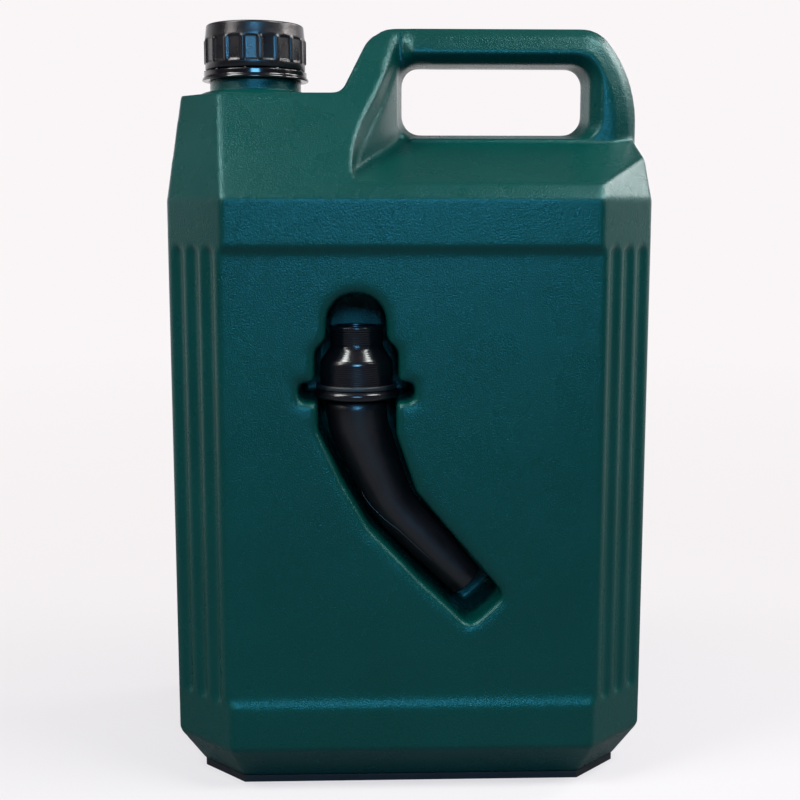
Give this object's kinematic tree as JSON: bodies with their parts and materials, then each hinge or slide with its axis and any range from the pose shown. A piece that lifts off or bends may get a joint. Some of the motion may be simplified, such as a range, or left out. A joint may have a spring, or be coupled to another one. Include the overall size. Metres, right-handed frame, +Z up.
{
  "type": "fuel can",
  "caption": "Flat-sided moulded plastic fuel can with hand opening, corner flutes, threaded neck with screw cap, and a bent pouring spout stored in a front pocket.",
  "frame": {"origin": "centre of the base, where the foot pad rests", "axes": "+Z up, -Y towards the front face that stores the spout, +X to the right seen from the front; the neck is on the left, the handle on the right"},
  "size_m": [0.19, 0.13, 0.3043],
  "materials": {
    "can_plastic": "moulded pebble grain, satin",
    "foot_plastic": "matte",
    "cap_plastic": "fine spark texture, satin",
    "band_plastic": "gloss",
    "seal_foam": "expanded foam",
    "seal_rubber": "smooth rubber",
    "collar_plastic": "gloss, fine turned rings",
    "tube_plastic": "satin",
    "breather_plastic": "natural polyethylene"
  },
  "bodies": {
    "can": {"can_body": "can_plastic", "can_handle": "can_plastic", "can_roof": "can_plastic", "can_neck": "can_plastic", "spout_pocket": "can_plastic", "base_foot": "foot_plastic"},
    "lid": {"closing_disc": "cap_plastic", "disc_seal": "seal_foam"},
    "ring": {"screw_ring": "cap_plastic"},
    "band": {"tamper_band": "band_plastic"},
    "spout": {"spout_collar": "collar_plastic", "spout_seal": "seal_rubber", "spout_tube": "tube_plastic", "breather_tube": "breather_plastic"}
  },
  "joints": [
    {"name": "cap_lift", "type": "slide", "parent": "can", "child": "lid", "axis": [0, 0, 1], "range_m": [0, 0.022]},
    {"name": "cap_turn", "type": "hinge", "parent": "lid", "child": "ring", "pos_m": [-0.063, 0, 0.295], "axis": [0, 0, 1], "range_deg": [0, 1980]},
    {"name": "band_turn", "type": "hinge", "parent": "can", "child": "band", "pos_m": [-0.063, 0, 0.283], "axis": [0, 0, 1], "continuous": true},
    {"name": "spout_pull", "type": "slide", "parent": "can", "child": "spout", "axis": [0, -1, 0], "range_m": [0, 0.06]}
  ],
  "couplings": [
    {"joint": "cap_lift", "follows": "cap_turn", "m_per_rad": 0.00063662}
  ]
}
